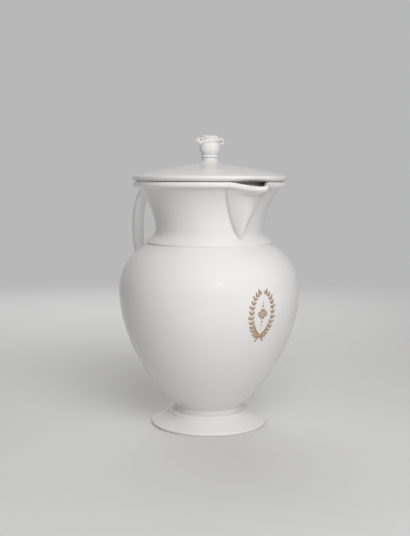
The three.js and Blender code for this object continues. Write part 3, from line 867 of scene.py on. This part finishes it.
lid_outline = profile(
    bend((0, dome_level), (16.6, dome_level), (30.2, 199.2), (flange_bore, flange_root), 40),
    (flange_bore, flange_root),
    (flange_radius + 0.3, flange_root),
    (48.5, rest_level + 0.3),
    (48.8, rest_level),
    bend((56.9, rest_level), (58, rest_level), (59.2, 193.3), lid_edge_foot, 10),
    bend(lid_edge_foot, (61.6, 194.7), (61.7, 197.1), lid_edge_top, 24),
    bend(lid_edge_top, (45.2, 201.6), (23.3, 205.2), (seat_radius, seat_level), 60),
    (seat_radius, seat_level),
    (0, seat_level),
)
lid = turned("lid_glazed", lid_outline)
fit(lid, "lid", glazed, "lid")
wipe_bare(lid, lid_bearing, (rest_level - 0.2, rest_level + 0.2))

# Flange
# A ring under the lid, thrown with it, that drops into the neck and keeps the lid from sliding
# off while the brew is poured.
flange_foot = 184.0
flange_round = 1.2
flange_outline = profile(
    (flange_bore, flange_root),
    arc((flange_bore + flange_round, flange_foot + flange_round), flange_round, 180, 270),
    arc((flange_radius - flange_round, flange_foot + flange_round), flange_round, 270, 360),
    (flange_radius, flange_root),
)
flange = turned("lid_flange_glazed", flange_outline)
fit(flange, "lid", glazed, "lid_flange")

# Knob foot, bead and bowl
# The knob is a small urn, turned in three pieces and luted on the lid one above the other: a
# flared foot, a bead, and the bell-shaped bowl.
knob_columns = 96
knob_sink = 0.05
knob_stem_radius = 6.15
bead_level = 211.3
bead_radius = 6.95
bead_round = 1.35
bowl_level = bead_level + 2 * bead_round
bowl_radius = 8.05
bowl_belly_level = 218.8
bowl_top_level = 224.0
bowl_top_radius = 6.5

foot_of_knob = (seat_radius + 0.5, seat_level - knob_sink)
top_of_stem = (knob_stem_radius, bead_level)
knob_foot_outline = profile(
    (0, seat_level - knob_sink),
    bend(foot_of_knob, (7.1, 208), (knob_stem_radius, 209.9), top_of_stem, 24),
    top_of_stem,
    (0, bead_level),
)
knob_foot = turned("knob_foot_glazed", knob_foot_outline, knob_columns)
fit(knob_foot, "lid", glazed, "knob_foot")

knob_bead_outline = profile(
    (0, bead_level),
    arc((bead_radius - bead_round, bead_level + bead_round), bead_round, -90, 90, 15),
    (0, bowl_level),
)
knob_bead = turned("knob_bead_glazed", knob_bead_outline, knob_columns)
fit(knob_bead, "lid", glazed, "knob_bead")

bowl_belly = (bowl_radius, bowl_belly_level)
bowl_top = (bowl_top_radius, bowl_top_level)
knob_bowl_outline = profile(
    (0, bowl_level),
    bend((6.4, bowl_level), (6.9, 215.1), (bowl_radius, 215.9), bowl_belly, 24),
    bend(bowl_belly, (bowl_radius, 221.8), (7.7, 223.3), bowl_top, 24),
    bowl_top,
    (0, bowl_top_level),
)
knob_bowl = turned("knob_bowl_glazed", knob_bowl_outline, knob_columns)
fit(knob_bowl, "lid", glazed, "knob_bowl")

# Knob collar
# A soft band round the urn's mouth, modelled by hand: it droops under the two ears and rises
# between them.
collar_top = 226.2
collar_radius = 7.3
collar_edge = 6.6
droop = 1.3
droop_spread = 0.75

collar_angle = full_turn(knob_columns)
collar_outline = profile(
    (0, bowl_top_level),
    bend((collar_edge, 223.8), (8.2, 223.9), (8.0, 225.9), (collar_edge, collar_top), 20),
    (collar_edge, collar_top),
    (0, collar_top),
)
collar_r, collar_z = collar_outline[:, :1], collar_outline[:, 1:]
low = np.clip((collar_top - collar_z) / (collar_top - bowl_top_level), 0, 1) * (collar_r > 6)
# The lower edge hangs down by the square of the sine of the angle from the beak.
hang = droop * low * np.sin(collar_angle) ** 2
collar_points = round_axis(collar_r + droop_spread * hang, collar_angle, collar_z - hang)
knob_collar = grid_mesh("knob_collar_glazed", collar_points)
fit(knob_collar, "lid", glazed, "knob_collar")

# Knob ears
# Each ear is a strip rolled up into a scroll and luted to the collar, with its open sides turned a
# little towards each other in front.
ear_radius = 2.95
ear_band = 1.6
ear_width = 4.2
ear_squareness = 2.6
ear_inset = 0.8
ear_thinning = 0.35
ear_turn = 301.8  # degrees
ear_facing = 22  # degrees
ear_top = 227.1
ear_centre = (10.25, ear_top - ear_radius)


def ear(side):
    """One scroll: a strip runs out level from the collar, then along a spiral whose radius falls
    steadily as it turns, and thins towards its end. The whole is turned about an upright line
    through the spiral's centre."""
    run_out = np.linspace(collar_radius - 1.2, ear_centre[0], 12)[:-1]
    level_run = np.column_stack([run_out, 0 * run_out + ear_top - ear_band / 2])
    share = np.linspace(0, 1, 70)
    thickness = ear_band * (1 - ear_thinning * share)
    radius = ear_radius - ear_inset * share - thickness / 2
    curl = toward(90 - ear_turn * share) * radius[:, None] + ear_centre
    strip = np.concatenate([level_run, curl])
    cos, sin = np.cos(np.radians(ear_facing)), np.sin(np.radians(ear_facing))
    beyond = strip[:, 0] - ear_centre[0]
    path = [axis_x + sin * beyond, side * (ear_centre[0] + cos * beyond), strip[:, 1]]
    axle = np.array([cos, -side * sin, 0])
    half_out = np.concatenate([0 * run_out + ear_band, thickness]) / 2
    half_across = 0 * half_out + ear_width / 2
    path = np.column_stack(path)
    return shut_ends(sweep(path, axle, half_across, half_out, ear_squareness, 28)[0])


for side, word in ((1, "left"), (-1, "right")):
    scroll = grid_mesh(f"knob_scroll_{word}_glazed", ear(side), crease=70)
    fit(scroll, "lid", glazed, f"knob_scroll_{word}")

# Knob cap
# The urn's low cap, pressed in a ribbed mould like a button and set in the collar.
cap_low = collar_top - 0.1
cap_high = 229.2
cap_shoulder = (5.7, cap_high - 0.5)
cap_ribs = 18
rib_depth = 0.5
rib_drop = 0.8

cap_side = np.concatenate(
    [
        [(0, cap_low)],
        bend((6.5, cap_low), (7.3, collar_top + 0.5), (7.2, collar_top + 2.1), cap_shoulder, 20),
        bend(cap_shoulder, (4.4, cap_high - 0.1), (2, cap_high), (0, cap_high), 20),
        [(0, cap_high)],
    ]
)
# Between two ribs the skin sinks by 1 less the 0.7th power of a sine with one wave to a rib.
cap_angle = full_turn(cap_ribs * 12)
valley = 1 - np.abs(np.sin(cap_ribs / 2 * cap_angle)) ** 0.7
cap_r, cap_z = cap_side[:, :1], cap_side[:, 1:]
ribbed = smooth(1.5, 5.5, cap_r) * smooth(cap_low, cap_low + 0.5, cap_z) * valley
cap_r = cap_r - rib_depth * ribbed
cap_z = cap_z - rib_drop * rib_depth * ribbed * (cap_z > collar_top + 1)
# The rib valleys are painted darker: glaze that gathers there, and painted shade.
knob_cap = grid_mesh("knob_cap_glazed", round_axis(cap_r, cap_angle, cap_z), ribbed, crease=75)
fit(knob_cap, "lid", glazed, "knob_cap")

# Table, light and camera
# A plain pale floor that runs out to a pale background; soft lamps from the right, from above and
# from behind, a small one for the glint in the glaze, and weak light from all round; and the
# camera at the photograph's angle.
floor_color = (0.7, 0.7, 0.7, 1)
floor_reach = 9000.0
floor_fade = (0.3, 1.0)  # metres from the pot's foot
background = 0.48
white = (1, 1, 1, 1)


def seen_directly(tree):
    """1 for a ray that the camera sees directly, in a reflection or through glass, and else 0."""
    ray = node(tree, "ShaderNodeLightPath").outputs
    either = reckon(tree, "MAXIMUM", ray["Is Camera Ray"], ray["Is Glossy Ray"])
    return reckon(tree, "MAXIMUM", either, ray["Is Transmission Ray"])


def stage_floor():
    """A flat disc, with rings at radii that grow evenly in their logarithm. To the camera it fades
    with its distance from the pot into the background's own tone."""
    angle = full_turn(64)
    radius = np.append(0, np.geomspace(40, floor_reach, 24))[:, None]
    points = [radius * np.cos(angle), radius * np.sin(angle), 0 * radius * angle]
    floor = grid_mesh("floor", np.stack(points, axis=-1))
    if floor.data.polygons[0].normal.z < 0:
        floor.data.flip_normals()
    made, tree, shader = material("pale_floor")
    fill(shader, {"Base Color": floor_color, "Roughness": 0.6, "Specular IOR Level": 0.2})
    place = node(tree, "ShaderNodeTexCoord").outputs["Object"]
    length = node(tree, "ShaderNodeVectorMath", {0: place}, operation="LENGTH").outputs["Value"]
    far = remap(tree, length, floor_fade, (0, 1), "SMOOTHSTEP")
    plain = node(tree, "ShaderNodeEmission", {"Color": white, "Strength": background})
    join = node(tree, "ShaderNodeMixShader")
    fill(join, {"Fac": reckon(tree, "MULTIPLY", far, seen_directly(tree))})
    fill(join, {1: shader.outputs["BSDF"], 2: plain.outputs["Emission"]})
    fill(tree.nodes["Material Output"], {"Surface": join.outputs["Shader"]})
    floor.data.materials.append(made)


def surrounding_light(color, strength):
    """A weak even light from all round, seen by the camera and by the glaze as the background."""
    world = bpy.data.worlds.new("studio")
    bpy.context.scene.world = world
    world.use_nodes = True
    tree = world.node_tree
    shown = tree.nodes["Background"]
    fill(shown, {"Color": white, "Strength": background})
    lighting = node(tree, "ShaderNodeBackground", {"Color": color, "Strength": strength})
    join = node(tree, "ShaderNodeMixShader", {"Fac": seen_directly(tree)})
    fill(join, {1: lighting.outputs["Background"], 2: shown.outputs["Background"]})
    fill(tree.nodes["World Output"], {"Surface": join.outputs["Shader"]})


aim_level = 110.0
camera_turn = 33.5  # degrees from the beak round towards the pot's right
camera_distance = 690.0
camera_level = 192.5
camera_lens = 58.43  # on a frame 36 mm high
camera_aim = (90.283, 84.355, 0.2)  # degrees: round the axis, up from straight down, and roll


def place_turned(thing, place, *turns):
    """Puts an object at a place in millimetres, turned in degrees about Z, then X, then Z."""
    spin = Matrix()
    for turn, axis in zip(turns, "ZXZ"):
        spin = spin @ Matrix.Rotation(np.radians(turn), 4, axis)
    bpy.context.scene.collection.objects.link(thing)
    thing.matrix_world = Matrix.Translation(place / 1000) @ spin


def lamp(name, turn, lift, distance, size, watts, mirrored=False):
    """A soft lamp that looks at the pot's middle: turned to the camera's right by some degrees and
    lifted above the level by others. The glaze mirrors it only where that is asked."""
    light = bpy.data.lights.new(name, "AREA")
    light.shape = "RECTANGLE"
    light.size, light.size_y = size
    light.energy = watts
    placed = bpy.data.objects.new(name, light)
    placed.visible_glossy = mirrored
    around, up = np.radians([turn - camera_turn, lift])
    way = np.array([np.cos(up) * np.cos(around), np.cos(up) * np.sin(around), np.sin(up)])
    place = (axis_x, 0, aim_level) + distance * way
    place_turned(placed, place, turn - camera_turn + 90, 90 - lift)


def photo_camera():
    """The camera: level with the rim, 690 mm from the axis, pitched down, with the pot's axis a
    few pixels right of the middle of the frame."""
    data = bpy.data.cameras.new("camera")
    data.sensor_fit = "VERTICAL"
    data.sensor_width = data.sensor_height = 36
    data.lens = camera_lens
    data.clip_start, data.clip_end = 0.02, 60
    camera = bpy.data.objects.new("camera", data)
    around = np.radians(camera_turn)
    way = np.array([np.cos(around), -np.sin(around), 0])
    pan, tilt, roll = camera_aim
    place = camera_distance * way + (axis_x, 0, camera_level)
    place_turned(camera, place, pan - camera_turn, tilt, roll)
    bpy.context.scene.camera = camera


stage_floor()
surrounding_light(color=(1.0, 0.96, 0.91, 1), strength=0.12)
lamp("key", turn=16, lift=31, distance=900, size=(0.6, 0.7), watts=6.2)
lamp("top", turn=20, lift=62, distance=900, size=(0.6, 0.6), watts=1.0)
lamp("back", turn=190, lift=22, distance=1100, size=(1.2, 0.9), watts=9.0)
lamp("glint", turn=13, lift=24, distance=1000, size=(0.13, 0.13), watts=0.18, mirrored=True)
photo_camera()
bpy.context.scene.view_settings.view_transform = "Standard"
